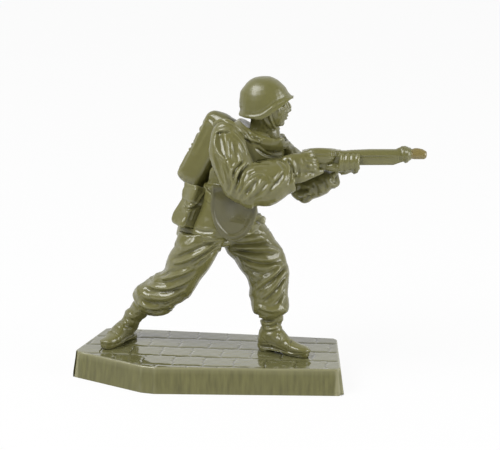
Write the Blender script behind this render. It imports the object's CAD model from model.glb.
import math
import bmesh
import bpy
import numpy as np
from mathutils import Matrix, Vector
from mathutils.bvhtree import BVHTree


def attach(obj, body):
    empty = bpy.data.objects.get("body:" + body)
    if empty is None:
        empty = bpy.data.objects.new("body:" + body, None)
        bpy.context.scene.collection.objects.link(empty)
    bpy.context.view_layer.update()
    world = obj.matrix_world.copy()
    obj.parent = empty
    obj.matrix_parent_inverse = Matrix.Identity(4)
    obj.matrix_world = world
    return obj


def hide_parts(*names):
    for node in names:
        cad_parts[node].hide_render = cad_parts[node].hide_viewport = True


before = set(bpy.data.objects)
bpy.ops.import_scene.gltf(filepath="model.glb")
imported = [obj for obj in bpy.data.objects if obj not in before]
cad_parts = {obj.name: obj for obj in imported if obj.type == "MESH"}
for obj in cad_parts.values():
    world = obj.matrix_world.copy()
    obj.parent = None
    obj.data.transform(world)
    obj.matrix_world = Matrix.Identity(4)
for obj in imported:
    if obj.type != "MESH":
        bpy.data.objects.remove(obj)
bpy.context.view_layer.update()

# Camera: a long lens on the figure's right, 320 mm away and 16 degrees above the plinth,
# framed as a catalogue picture of the toy is. One pixel is 0.16 mm at the figure.
MM = 0.001
pixel = 0.16
middle_x, middle_y = 250, 225
aim = Vector((6.75, 0.0, 25.16)) * MM
camera_rise = math.radians(16)
camera_reach = 320 * MM
toward = Vector((0, math.cos(camera_rise), -math.sin(camera_rise)))
picture_up = (0, math.sin(camera_rise), math.cos(camera_rise))
eye = aim - camera_reach * toward
lens = bpy.data.cameras.new("camera")
lens.lens = 144
lens.sensor_width = 36
lens.sensor_fit = "HORIZONTAL"
lens.clip_start = 0.01
camera = bpy.data.objects.new("camera", lens)
bpy.context.scene.collection.objects.link(camera)
camera.location = eye
camera.rotation_euler = (math.radians(90) - camera_rise, 0, 0)
bpy.context.scene.camera = camera


def sight_line(x, y):
    """Direction from the lens through a point of the 500 by 450 picture."""
    across = Vector((1, 0, 0)) * (x - middle_x) * pixel * MM
    up = Vector(picture_up) * (middle_y - y) * pixel * MM
    return (toward * camera_reach + across + up).normalized()


# Plinth: a hollow slab of olive polystyrene with five corners, moulded in a polished steel tool.
# Its top is a road of worn setts, its drafted walls keep the marks of the cutter that made the
# mould, and the ribs and keyed sockets underneath hold the two boots.
plinth_long, plinth_wide, plinth_high, plinth_draft = 44.2, 22.2, 4.3, 0.55
sett_long, sett_wide, paving_turn = 4.9, 4.2, math.radians(-6)
plinth_corners = np.array([(-0.5066, -0.066), (-0.22, -0.434), (0.49, -0.478), (0.49, 0.24), (-0.398, 0.5)])
plinth_corners = plinth_corners * (plinth_long, plinth_wide)
edge_round = 0.22
corner_cut = 0.3


def feed(tree, node, inputs):
    """Sets inputs of a shader node, or joins them to the outputs of other nodes."""
    for name, value in inputs.items():
        if isinstance(value, bpy.types.NodeSocket):
            tree.links.new(value, node.inputs[name])
        else:
            node.inputs[name].default_value = value


def add(tree, kind, inputs=None, **settings):
    """A new shader node with its settings and inputs."""
    node = tree.nodes.new("ShaderNode" + kind)
    for name, value in settings.items():
        setattr(node, name, value)
    feed(tree, node, inputs or {})
    return node


def compute(tree, operation, *values, **settings):
    """What a Math node makes of its values."""
    return add(tree, "Math", dict(enumerate(values)), operation=operation, **settings).outputs[0]


def moulded_skin_group():
    """The mix swirls where it flowed and its gloss varies. Hollows and proud edges are told apart."""
    group = bpy.data.node_groups.new("moulded skin", "ShaderNodeTree")
    for name, value in (("Flow Size", 110.0), ("Flow", 0.5), ("Gloss", 0.2), ("Haze", 0.08), ("Relief", 1.0)):
        socket = group.interface.new_socket(name=name, in_out="INPUT", socket_type="NodeSocketFloat")
        socket.default_value = value
    for name in ("Swirl", "Roughness", "Height", "Hollow", "Edge"):
        group.interface.new_socket(name=name, in_out="OUTPUT", socket_type="NodeSocketFloat")
    start = group.nodes.new("NodeGroupInput").outputs
    place = add(group, "TexCoord").outputs["Object"]

    def noise(scale, detail, distortion=0.0):
        return add(group, "TexNoise", {"Vector": place, "Scale": scale, "Detail": detail,
                                       "Distortion": distortion}).outputs["Fac"]

    swirl = compute(group, "SUBTRACT", noise(start["Flow Size"], 4, 0.8), 0.5)
    waves = compute(group, "MULTIPLY_ADD", noise(1900, 3), 0.25, noise(330, 2))
    bend = add(group, "Attribute", attribute_name="bend").outputs["Fac"]

    def mask(low, high):
        return add(group, "MapRange", {"From Min": low, "From Max": high, "Value": bend}).outputs["Result"]

    feed(group, group.nodes.new("NodeGroupOutput"), {
        "Swirl": compute(group, "MULTIPLY_ADD", swirl, start["Flow"], 0.5),
        "Roughness": compute(group, "MULTIPLY_ADD", noise(420, 5), start["Haze"], start["Gloss"]),
        "Height": compute(group, "MULTIPLY", waves, start["Relief"]),
        "Hollow": mask(0.05, 0.9),
        "Edge": mask(-0.12, -0.9),
    })
    return group


moulded_skin = moulded_skin_group()


def plastic(name, deep, clear, dark, pale, **values):
    """A glossy moulding: the mix runs from deep to clear, dark in the hollows and pale on edges."""
    material = bpy.data.materials.new(name)
    material.use_nodes = True
    tree = material.node_tree
    skin = add(tree, "Group", node_tree=moulded_skin)
    feed(tree, skin, {key.title(): value for key, value in values.items()})
    skin = skin.outputs
    colour = (*deep, 1)
    for output, tint in (("Swirl", clear), ("Hollow", dark), ("Edge", pale)):
        colour = add(tree, "Mix", {"Factor": skin[output], "A": colour, "B": (*tint, 1)},
                     data_type="RGBA").outputs["Result"]
    bump = add(tree, "Bump", {"Strength": 0.14, "Distance": 0.05 * MM, "Height": skin["Height"]})
    feed(tree, tree.nodes["Principled BSDF"], {"Base Color": colour, "Roughness": skin["Roughness"],
                                               "Normal": bump.outputs["Normal"], "IOR": 1.6})
    return material


def streaks(material):
    """Cutter marks that run up and down the walls of the mould, as very fine upright lines."""
    tree = material.node_tree
    place = add(tree, "TexCoord").outputs["Object"]
    stretched = add(tree, "Mapping", {"Scale": (1700, 1700, 36), "Vector": place}).outputs["Vector"]
    lines = add(tree, "TexNoise", {"Scale": 1.0, "Detail": 2, "Vector": stretched}).outputs["Fac"]
    cut = add(tree, "Bump", {"Strength": 1.0, "Distance": 0.04 * MM, "Height": lines})
    feed(tree, tree.nodes["Bump"], {"Normal": cut.outputs["Normal"]})
    feed(tree, tree.nodes["Mix"], {"Factor": lines})


def unit(way):
    """The same direction with a length of one."""
    return way / np.linalg.norm(way)


def slice_off(body, place, way, near):
    """Takes away what lies beyond a plane through place that faces way."""
    geometry = body.verts[:] + body.edges[:] + body.faces[:]
    bmesh.ops.bisect_plane(body, geom=geometry, dist=near, plane_co=place, plane_no=way, clear_outer=True)


def plinth_edges(inset):
    """Outward normal and offset of each side of the outline, its corners slightly blunted."""
    sides, turns = [], []
    count = len(plinth_corners)
    for i in range(count):
        corner = plinth_corners[i]
        along = unit(plinth_corners[(i + 1) % count] - corner)
        turns.append(np.array((along[1], -along[0])))
        sides.append((turns[i], float(turns[i] @ corner) - inset))
    for i in range(count):
        blunt = unit(turns[i - 1] + turns[i])
        corner = np.linalg.solve(np.array((turns[i - 1], turns[i])), (sides[i - 1][1], sides[i][1]))
        sides.append((blunt, float(blunt @ corner) - corner_cut))
    return sides


def inside_by(sides, spot):
    """How far a point lies inside the nearest side of the outline."""
    return min(offset - (normal[0] * spot.x + normal[1] * spot.y) for normal, offset in sides)


def sett_height(x, y):
    """Height of the paving over its lowest joint, each sett a little domed, tipped and worn."""
    u = x * math.cos(paving_turn) + y * math.sin(paving_turn)
    v = -x * math.sin(paving_turn) + y * math.cos(paving_turn)
    u = u + 0.10 * np.sin(v * 1.9 + 1) + 0.05 * np.sin(v * 5.3)
    v = v + 0.08 * np.sin(u * 0.9) + 0.05 * np.sin(u * 3.1 + 2)
    row = np.floor(v / sett_wide)
    shift = np.where(np.mod(row, 2) == 0, 0.0, 0.5)
    column = np.floor(u / sett_long - shift)
    in_u = u / sett_long - shift - column
    in_v = v / sett_wide - row
    key = row * 37.7 + column * 17.3
    lift = np.sin(key * 1.7) * 0.016
    tip = np.sin(key * 2.9) * 0.03 * (in_u - 0.5) + np.cos(key * 3.7) * 0.03 * (in_v - 0.5)
    to_joint = np.minimum(np.minimum(in_u, 1 - in_u) * sett_long + 0.03,
                          np.minimum(in_v, 1 - in_v) * sett_wide)
    joint = 0.11 * np.exp(-(to_joint / 0.13) ** 2) + 0.03 * np.exp(-(to_joint / 0.4) ** 2)
    worn = 0.006 * np.sin(u * 2.3 + key) * np.sin(v * 2.9 + key)
    return lift + tip + worn - joint


def paved_top(sides):
    """A fine flat net of points over the top, laid in the rows of the paving and cut to its sides."""
    spacing = 0.15
    half_long, half_wide = 27.0, 17.0
    gu, gv = np.meshgrid(np.arange(-half_long, half_long + spacing, spacing),
                         np.arange(-half_wide, half_wide + spacing, spacing))
    x = gu * math.cos(paving_turn) - gv * math.sin(paving_turn)
    y = gu * math.sin(paving_turn) + gv * math.cos(paving_turn)
    inside = np.ones_like(x, dtype=bool)
    for normal, offset in sides:
        inside &= normal[0] * x + normal[1] * y < offset + 2 * spacing
    number = -np.ones(x.shape, dtype=int)
    number[inside] = np.arange(inside.sum())
    points = np.stack([x[inside], y[inside], np.full(inside.sum(), plinth_high)], axis=1)
    quads = np.stack([number[:-1, :-1], number[:-1, 1:], number[1:, 1:], number[1:, :-1]], axis=-1)
    quads = quads.reshape(-1, 4)
    mesh = bpy.data.meshes.new("paving")
    mesh.from_pydata(points.tolist(), [], quads[(quads >= 0).all(axis=1)].tolist())
    body = bmesh.new()
    body.from_mesh(mesh)
    for normal, offset in sides:
        slice_off(body, (*(normal * offset), 0), (*normal, 0), 0.004)
    bmesh.ops.remove_doubles(body, verts=body.verts[:], dist=0.01)
    return mesh, body


def drop_walls(body, sides, rows):
    """Grows the rim of the top down the walls, through rows of (distance out, distance down)."""
    edges = [edge for edge in body.edges if edge.is_boundary]
    start = {}
    for vert in {v for edge in edges for v in edge.verts}:
        touching = [n for n, offset in sides if abs(n[0] * vert.co.x + n[1] * vert.co.y - offset) < 0.02]
        start[vert] = (vert.co.copy(), touching[:2])
    for out, down in rows:
        grown = bmesh.ops.extrude_edge_only(body, edges=edges)["geom"]
        lookup = {}
        for vert in [g for g in grown if isinstance(g, bmesh.types.BMVert)]:
            for linked in vert.link_edges:
                other = linked.other_vert(vert)
                if other in start:
                    lookup[vert] = start[other]
        for vert, (home, touching) in lookup.items():
            if len(touching) > 1:
                shift = np.linalg.solve(np.array(touching), (out, out))
            else:
                shift = touching[0] * out
            vert.co = Vector((home.x + shift[0], home.y + shift[1], plinth_high - down))
        for face in [g for g in grown if isinstance(g, bmesh.types.BMFace)]:
            face.material_index = int(down > 0.1)
        start = lookup
        edges = [g for g in grown if isinstance(g, bmesh.types.BMEdge) and all(v in lookup for v in g.verts)]


def ribbed_underside():
    """The CAD plinth's hollow with its ribs and sockets, without its outer walls and its paving."""
    under = bmesh.new()
    under.from_mesh(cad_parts["base_plate"].data)
    bmesh.ops.scale(under, vec=(1000, 1000, 1000), verts=under.verts[:])
    bmesh.ops.remove_doubles(under, verts=under.verts[:], dist=0.001)
    sides = plinth_edges(0)
    paving_foot = plinth_high - 0.6
    doomed = []
    for face in under.faces:
        middle = face.calc_center_median()
        slack = inside_by(sides[:5], middle)
        foot = min(v.co.z for v in face.verts)
        outer_wall = slack < 0.5 and max(v.co.z for v in face.verts) - foot > 1
        paving = middle.z > paving_foot and face.normal.z > -0.5 and slack >= -1 and foot > paving_foot
        if outer_wall or paving:
            doomed.append(face)
    bmesh.ops.delete(under, geom=doomed, context="FACES")
    for normal, offset in sides:
        slice_off(under, (*(normal * offset), 0), (*normal, 0), 0.001)
    for face in under.faces:
        face.material_index = 1
    mesh = bpy.data.meshes.new("underside")
    under.to_mesh(mesh)
    under.free()
    return mesh


def make_plinth():
    """The paved top, the walls and the ribbed underside as one mesh, in metres."""
    top_inset = plinth_draft + edge_round
    sides = plinth_edges(top_inset)
    mesh, body = paved_top(sides)
    drop_walls(body, sides, ((0.09, 0.02), (0.17, 0.09), (0.22, 0.22), (0.26, 0.5), (0.36, 1.3), (0.5, 2.3),
                             (0.65, 3.3), (top_inset, plinth_high)))
    paved_deep, rim_wide, rim_share = 0.12, 0.35, 0.25
    for vert in body.verts:
        if vert.co.z > plinth_high - paved_deep:
            share = min(max(inside_by(sides, vert.co) / rim_wide, rim_share), 1)
            vert.co.z += float(sett_height(np.array(vert.co.x), np.array(vert.co.y))) * share
    bmesh.ops.recalc_face_normals(body, faces=body.faces[:])
    body.from_mesh(ribbed_underside())
    bmesh.ops.scale(body, vec=(MM, MM, MM), verts=body.verts[:])
    body.to_mesh(mesh)
    body.free()
    return mesh


def numbers(items, name, wide, kind=float):
    """What each vertex or edge of a mesh holds under a name, as rows."""
    values = np.empty(len(items) * wide, dtype=kind)
    items.foreach_get(name, values)
    return values.reshape(-1, wide)


def note_bend(mesh, reach, gain):
    """Stores how hollow (1) or proud (-1) the skin is at each point, for the plastic to show."""
    points = numbers(mesh.vertices, "co", 3)
    normals = numbers(mesh.vertices, "normal", 3)
    edges = numbers(mesh.edges, "vertices", 2, np.int64)
    share = np.bincount(edges.ravel(), minlength=len(points)).astype(float)

    def around(values):
        total = np.zeros_like(values)
        np.add.at(total, edges[:, 0], values[edges[:, 1]])
        np.add.at(total, edges[:, 1], values[edges[:, 0]])
        return total / np.maximum(share, 1).reshape(-1, *[1] * (values.ndim - 1))

    far = points
    for _ in range(reach):
        far = around(far)
    bend = np.einsum("ij,ij->i", far - points, normals) / MM
    for _ in range(2):
        bend = around(bend)
    mesh.attributes.new("bend", "FLOAT", "POINT").data.foreach_set("value", np.clip(bend * gain, -1, 1))


def fit_piece(name, mesh, material, slot, *nodes):
    """Hangs a finished mesh on the toy in place of the CAD solids that it stands for."""
    piece = bpy.data.objects.new(name, mesh)
    bpy.context.scene.collection.objects.link(piece)
    if not mesh.materials:
        mesh.materials.append(material)
    mesh.polygons.foreach_set("use_smooth", [True] * len(mesh.polygons))
    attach(piece, "root")
    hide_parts(*nodes)


paving_plastic = plastic("paving plastic", (0.120, 0.116, 0.045), (0.156, 0.151, 0.066),
                         (0.030, 0.028, 0.008), (0.24, 0.23, 0.13), gloss=0.05, haze=0.08, relief=0.6)
feed(paving_plastic.node_tree, paving_plastic.node_tree.nodes["Principled BSDF"],
     {"Coat Weight": 0.45, "Coat Roughness": 0.05})
wall_plastic = plastic("plinth wall plastic", (0.062, 0.059, 0.016), (0.190, 0.182, 0.060),
                       (0.055, 0.052, 0.016), (0.24, 0.23, 0.12), gloss=0.26, haze=0.15, relief=0.8)
streaks(wall_plastic)
plinth_mesh = make_plinth()
plinth_mesh.materials.append(paving_plastic)
plinth_mesh.materials.append(wall_plastic)
note_bend(plinth_mesh, 3, 26)
fit_piece("plinth", plinth_mesh, paving_plastic, "base_plastic", "base_plate")


# Legs: two mouldings of the same glossy olive polystyrene, glued by keys into the plinth and cut
# flat under the jacket. The bloused cloth is pulled from the crotch and the knee, and hangs in
# stacked crescents over the tops of the laced boots.
olive_plastic = plastic("olive plastic", (0.120, 0.113, 0.036), (0.168, 0.159, 0.056),
                        (0.050, 0.046, 0.012), (0.25, 0.24, 0.12), gloss=0.17, haze=0.14)


def curve(points, steps):
    """Smooth line through rows of numbers, with steps rows from each to the next."""
    points = np.array(points, dtype=float)
    rows = []
    for i in range(len(points) - 1):
        a, b = points[max(i - 1, 0)], points[i]
        c, d = points[i + 1], points[min(i + 2, len(points) - 1)]
        for f in np.arange(steps) / steps:
            rows.append(0.5 * (2 * b + (c - a) * f + (2 * a - 5 * b + 4 * c - d) * f * f
                               + (3 * b - a - 3 * c + d) * f ** 3))
    rows.append(points[-1])
    return np.array(rows)


def lengths_along(line):
    """How far along a line each of its points lies."""
    return np.concatenate([[0], np.cumsum(np.linalg.norm(np.diff(line, axis=0), axis=1))])


def pairs(row):
    """The points of a row of numbers, two to a point."""
    return list(zip(row[::2], row[1::2]))


def heading(spin):
    """The level direction at an angle from the barrel's, in radians."""
    return np.array((math.cos(spin), math.sin(spin), 0))


def roll(body, points, flat=1.0, facing=(0.0, -1.0, 0.0)):
    """Adds a round or flattened roll along (x, y, z, half width) rows in mm, with blunt ends."""
    rows = curve(points, 6)
    facing = np.array(facing, dtype=float)
    sides = 14
    rings = []
    last = len(rows) - 1
    end_caps = (0.97, 0.8, 0.45)
    steps = [(0, cap) for cap in end_caps] + [(i, None) for i in range(last + 1)]
    steps += [(last, cap) for cap in end_caps[::-1]]
    for n, (i, cap) in enumerate(steps):
        way = unit(rows[min(i + 1, last), :3] - rows[max(i - 1, 0), :3])
        side = unit(np.cross(way, facing))
        out = np.cross(side, way)
        middle, wide = rows[i, :3], rows[i, 3]
        if cap:
            middle = middle + way * (wide * cap * flat * (-1 if n < len(end_caps) else 1))
            wide = wide * math.sqrt(1 - cap * cap)
        rings.append([body.verts.new((middle + side * (wide * math.cos(a))
                                      + out * (wide * flat * math.sin(a))) * MM)
                      for a in np.arange(sides) * 2 * math.pi / sides])
    for a, b in zip(rings, rings[1:]):
        for k in range(sides):
            j = (k + 1) % sides
            body.faces.new((a[k], a[j], b[j], b[k]))
    body.faces.new(rings[0][::-1])
    body.faces.new(rings[-1])


class Casting:
    """A moulding whose facets are melted into one skin, for folds to be pressed into."""

    def __init__(self, node, grain, melt, cuts=(), rolls=()):
        body = bmesh.new()
        body.from_mesh(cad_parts[node].data)
        bmesh.ops.remove_doubles(body, verts=body.verts[:], dist=0.002 * MM)
        for place, way in cuts:
            slice_off(body, Vector(place) * MM, way, 0.0001 * MM)
            bmesh.ops.contextual_create(body, geom=[edge for edge in body.edges if edge.is_boundary])
            bmesh.ops.triangulate(body, faces=[face for face in body.faces if len(face.verts) > 4])
        for row in rolls:
            roll(body, *row)
        bmesh.ops.recalc_face_normals(body, faces=body.faces[:])
        solid = bpy.data.meshes.new("block")
        body.to_mesh(solid)
        body.free()
        block = bpy.data.objects.new("block", solid)
        bpy.context.scene.collection.objects.link(block)
        remesh = block.modifiers.new("grain", "REMESH")
        remesh.mode = "VOXEL"
        remesh.voxel_size = grain * MM
        melting = block.modifiers.new("melt", "SMOOTH")
        melting.factor = 0.5
        melting.iterations = melt
        graph = bpy.context.evaluated_depsgraph_get()
        self.mesh = bpy.data.meshes.new_from_object(block.evaluated_get(graph))
        self.mesh.materials.clear()
        bpy.data.objects.remove(block)
        self.node = node
        self.read()

    def read(self):
        """Takes the skin's points and directions from the mesh, in mm."""
        self.spots = numbers(self.mesh.vertices, "co", 3) / MM
        self.normals = numbers(self.mesh.vertices, "normal", 3)
        self.tree = BVHTree.FromPolygons([v.co for v in self.mesh.vertices],
                                         [p.vertices for p in self.mesh.polygons])

    def write(self):
        self.mesh.vertices.foreach_set("co", (self.spots * MM).ravel())
        self.mesh.update()
        self.read()

    def seen(self, x, y):
        """The point of the skin that shows at this point of the picture, in mm."""
        hit = self.tree.ray_cast(eye, sight_line(x, y))[0]
        return None if hit is None else np.array(hit) / MM

    def outward(self, middle, direction):
        """The point of the skin met from inside, going out from middle, in mm."""
        hit = self.tree.ray_cast(Vector(middle) * MM, Vector(direction).normalized())[0]
        if hit is None:
            hit = self.tree.find_nearest(Vector(middle) * MM)[0]
        return np.array(hit) / MM

    def press(self, path, width, height, ends=0.25, flank=0.35):
        """Raises a ridge, or with a negative height a groove, along a path on the skin."""
        path = [spot for spot in path if spot is not None]
        if len(path) < 2:
            return
        line = curve(path, 10)
        span = lengths_along(line)
        span = span / span[-1]
        reach = 3.2 * width
        near = np.where(((self.spots > line.min(axis=0) - reach)
                         & (self.spots < line.max(axis=0) + reach)).all(axis=1))[0]
        if len(near) == 0:
            return
        gap = np.linalg.norm(self.spots[near, None, :] - line[None], axis=2)
        closest = gap.argmin(axis=1)
        gap = gap[np.arange(len(near)), closest] / width
        along = span[closest]
        fade = np.sin(np.clip(np.minimum(along, 1 - along) / ends, 0, 1) * math.pi / 2)
        fade = np.where((closest == 0) | (closest == len(line) - 1), fade * 0.5, fade)
        shape = np.exp(-gap ** 2) - flank * np.exp(-((gap - 1.9) / 0.8) ** 2)
        self.spots[near] += self.normals[near] * (height * fade * shape)[:, None]

    def folds(self, strokes):
        """Presses folds that the picture shows: height, width, then x and y of each point there."""
        for height, width, *points in strokes:
            self.press([self.seen(x, y) for x, y in pairs(points)], width, height)
        self.write()

    def wraps(self, axis, strokes):
        """Presses folds round a limb: (height, width, place along it, from angle, to angle, climb)."""
        axis = np.array(axis, dtype=float)
        for height, width, place, from_angle, to_angle, climb in strokes:
            path = []
            for f in np.linspace(0, 1, 9):
                spot = np.clip(place + climb * (f - 0.5), 0, 0.999) * (len(axis) - 1)
                i = int(spot)
                middle = axis[i] + (axis[i + 1] - axis[i]) * (spot - i)
                way = unit(axis[i + 1] - axis[i])
                near = np.array((0.0, -1.0, 0.0))
                near = unit(near - way * (near @ way))
                side = np.cross(way, near)
                turn = math.radians(from_angle + (to_angle - from_angle) * f)
                path.append(self.outward(middle, near * math.cos(turn) + side * math.sin(turn)))
            self.press(path, width, height)
        self.write()

    def drape(self, axis, pitch, height, tilts, ends=1.5):
        """Slack cloth round a limb: long low folds a pitch apart, tilted and running together."""
        line = curve(axis, 8)
        span = lengths_along(line)
        gap = np.linalg.norm(self.spots[:, None, :] - line[None], axis=2)
        closest = np.clip(gap.argmin(axis=1), 1, len(line) - 2)
        way = line[closest + 1] - line[closest - 1]
        way = way / np.linalg.norm(way, axis=1)[:, None]
        offset = self.spots - line[closest]
        along = span[closest] + np.einsum("ij,ij->i", offset, way)
        x, y, z = self.spots.T
        lean = sum(size * np.sin(np.arctan2(offset[:, 1], offset[:, 0]) * turns + start)
                   for size, turns, start in tilts)
        wander = 0.45 * np.sin(0.9 * x + 0.6 * y + 1.1 * z)
        phase = (along + lean) / pitch + wander + 0.3 * np.sin(1.7 * y - 1.3 * x + 0.8 * z)
        swell = 0.55 + 0.45 * np.sin(0.8 * x - 1.1 * y + 0.7 * z + 1.3) * np.sin(0.9 * z + 0.5 * y)
        fade = np.clip(np.minimum(along, span[-1] - along) / ends, 0, 1)
        hidden = np.clip(0.35 + 1.2 * self.normals[:, 1], 0.12, 1)
        wave = np.abs(np.sin(math.pi * phase)) - 0.64
        self.spots += self.normals * (height * swell * fade * hidden * wave)[:, None]
        self.write()

    def soften(self, places, times):
        """Melts the skin further inside balls given as (x, y, z, radius) in mm."""
        pull = np.zeros(len(self.spots))
        for x, y, z, radius in places:
            gap = np.linalg.norm(self.spots - (x, y, z), axis=1)
            pull = np.maximum(pull, np.clip(1.6 - 1.6 * gap / radius, 0, 1))
        edges = numbers(self.mesh.edges, "vertices", 2, np.int64)
        edges = edges[(pull[edges] > 0).any(axis=1)]
        here, there = np.concatenate([edges, edges[:, ::-1]]).T
        share = np.maximum(np.bincount(here, minlength=len(pull)), 1)
        for _ in range(times):
            total = [np.bincount(here, self.spots[there, k], minlength=len(pull)) for k in range(3)]
            self.spots += (0.5 * pull)[:, None] * (np.stack(total, axis=1) / share[:, None] - self.spots)
        self.write()

    def outline(self, points, reach=9.0, depth=2.0):
        """Moves the rim that the camera sees onto a line in the picture with the body on its right."""
        for _ in range(2):
            self.fit_rim(curve(pairs(points), 8), reach, depth)

    def fit_rim(self, rows, reach, depth):
        """One pass of the outline: finds how far the rim stands off the line, and takes it back."""
        offset = self.spots - np.array(eye) / MM
        rise = np.array(picture_up)
        grain = pixel * (offset @ np.array(toward)) * MM / camera_reach
        flat = np.stack([middle_x + offset[:, 0] / grain, middle_y - offset @ rise / grain], axis=1)
        near = np.where(((flat > rows.min(axis=0) - reach)
                         & (flat < rows.max(axis=0) + reach)).all(axis=1))[0]
        gap = np.linalg.norm(flat[near, None, :] - rows[None], axis=2)
        closest = gap.argmin(axis=1)
        gap = gap.min(axis=1)
        on_line = (gap < reach) & (closest > 0) & (closest < len(rows) - 1)
        way = np.gradient(rows, axis=0)
        way /= np.linalg.norm(way, axis=1)[:, None]
        out = np.stack([way[:, 1], -way[:, 0]], axis=1)
        beyond = np.einsum("ij,ij->i", flat[near] - rows[closest], out[closest])
        rim = np.full(len(rows), -reach)
        np.maximum.at(rim, closest[on_line], beyond[on_line])
        known = rim > -reach
        if known.sum() < 2:
            return
        places = np.arange(len(rows))
        rim = np.interp(places, places[known], rim[known])
        rim = np.convolve(np.pad(rim, 3, mode="edge"), np.ones(7) / 7, mode="valid")
        ends = np.clip(np.minimum(places, len(rows) - 1 - places) / 8, 0, 1)
        deep = np.maximum(depth / pixel, 2.2 * np.abs(rim))[closest]
        hold = np.clip(1 - (rim[closest] - beyond) / deep, 0, 1)
        hold = hold * hold * (3 - 2 * hold) * ends[closest] * (gap < 3 * reach)
        shift = (-rim[closest] * hold)[:, None] * out[closest] * grain[near, None]
        self.spots[near, 0] += shift[:, 0]
        self.spots[near] -= shift[:, 1:] * rise
        self.write()

    def finish(self, name, material, reach=4, gain=9):
        """Hangs the casting on the toy, its hollows and edges noted for the plastic."""
        note_bend(self.mesh, reach, gain)
        fit_piece(name, self.mesh, material, "figure_plastic", self.node)


right_leg_axis = [(0.1, -1.7, 25.2), (-1.8, -1.5, 21.7), (-3.1, -0.9, 19.3), (-4.4, 0.1, 16.8),
                  (-6.1, 1.1, 14.6), (-8.2, 2.2, 12.9), (-9.6, 3, 11.4)]
left_leg_axis = [(5.5, 1.8, 25.3), (6.2, 1.9, 22.5), (7.6, 1.6, 20.1), (9, 1.2, 17.9),
                 (9.6, 0.8, 16), (9.8, 0.5, 14), (9.9, 0.3, 12.2), (10.1, 0.2, 11)]
right_leg = Casting("right_leg", 0.12, 14)
right_leg.drape(right_leg_axis, 1.9, 0.12, ((0.9, 1, 0.6), (0.35, 2, 1)))
right_leg.folds([
    (0.2, 0.5, 179, 246.4, 186, 246.6, 192, 243.6, 197, 239.6),
    (-0.22, 0.32, 169.5, 259.2, 177, 257.2, 185, 254.6, 193, 251.6, 200, 248.2, 210, 243, 219, 238.7),
    (0.24, 0.46, 172.5, 263.2, 180.5, 261.6, 188, 258.4, 196, 254.2, 205, 249, 215, 243.2),
    (-0.2, 0.3, 168, 267.6, 178, 265.6, 188, 262.4, 196.7, 258, 206, 252.4, 214, 247.4, 222, 242),
    (0.2, 0.36, 200, 259.6, 207.5, 254.2, 215, 248.8, 222, 243.4),
    (-0.22, 0.3, 196.6, 266.8, 201, 262, 208, 256.2, 216.5, 250),
    (-0.2, 0.32, 158, 274.2, 166.7, 272.4, 176, 270.8, 184, 268.2, 192, 264),
    (0.26, 0.44, 160.5, 279, 168.5, 276.6, 176, 274.2, 184, 271.4, 192, 268),
    (-0.16, 0.3, 154.5, 281.2, 165, 281.6, 176, 278.8, 186, 275, 196, 269.6),
    (0.22, 0.34, 146.2, 280.6, 150, 284, 156.7, 287, 167, 287.6, 178, 284.6, 189, 279.4, 199, 272.4),
    (-0.26, 0.32, 143.5, 286, 150, 290, 158, 292, 168, 291.8, 178, 289, 188, 283.6),
    (0.32, 0.42, 139.8, 291.4, 146.4, 295.4, 155, 297.8, 166, 297.8, 176.5, 294.4, 186, 288.6),
    (-0.28, 0.3, 139.5, 297.8, 148, 302.2, 158, 303.6, 169, 302.8, 179, 298.8, 187, 292.6),
    (0.26, 0.36, 137.8, 302.2, 144, 306, 153, 308.2, 163, 308, 172, 304.8),
    (-0.18, 0.28, 143, 309.6, 152, 311.8, 163, 311.6, 171, 308.8),
    (0.05, 0.09, 215.5, 257, 208, 268, 198, 282, 191, 291.5, 184.5, 297.5),
])
right_leg.wraps(right_leg_axis, [
    (-0.14, 0.36, 0.93, 100, 300, -0.04), (0.13, 0.4, 0.86, 110, 310, 0.06),
    (-0.14, 0.34, 0.79, 90, 280, -0.05), (0.11, 0.42, 0.71, 120, 290, 0.08),
    (-0.12, 0.36, 0.62, 100, 260, 0.1), (0.1, 0.42, 0.53, 130, 290, 0.12),
    (-0.12, 0.36, 0.44, 90, 230, 0.14), (0.09, 0.44, 0.35, 110, 250, 0.14),
    (-0.1, 0.36, 0.26, 100, 240, 0.12),
])
left_leg = Casting("left_leg", 0.12, 14, (), [
    ([(1.4, -1.2, 22.9, 0.7), (2.6, -0.8, 22.4, 0.75), (3.9, 0.2, 22.9, 0.8)],),
    ([(1, -0.6, 24, 1), (2.8, 0.2, 23.7, 1.1), (4.4, 0.8, 24.1, 1.1)],),
    ([(8.95, 0.55, 5, 0.9), (9, 0.5, 6, 0.95), (9.4, 0.3, 7.2, 0.95)],),
    ([(13.7, -1.35, 5.9, 1), (15.1, -1.95, 5.6, 0.9)],),
])
left_leg.soften([(2.6, -1, 23.6, 2.2)], 40)
along, above = left_leg.spots[:, 0], left_leg.spots[:, 2]
toe_share = np.clip((9.5 - above) / 2.5, 0, 1) * np.clip((along - 10) / 6.3, 0, 1)
ankle_share = np.clip((12 - above) / 5, 0, 1)
left_leg.spots[:, 1] -= 1.3 * toe_share + 1.1 * ankle_share
left_leg.write()
left_leg.drape(left_leg_axis, 1.8, 0.12, ((0.8, 1, 2.4), (0.35, 2, 0.4)))
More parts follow.
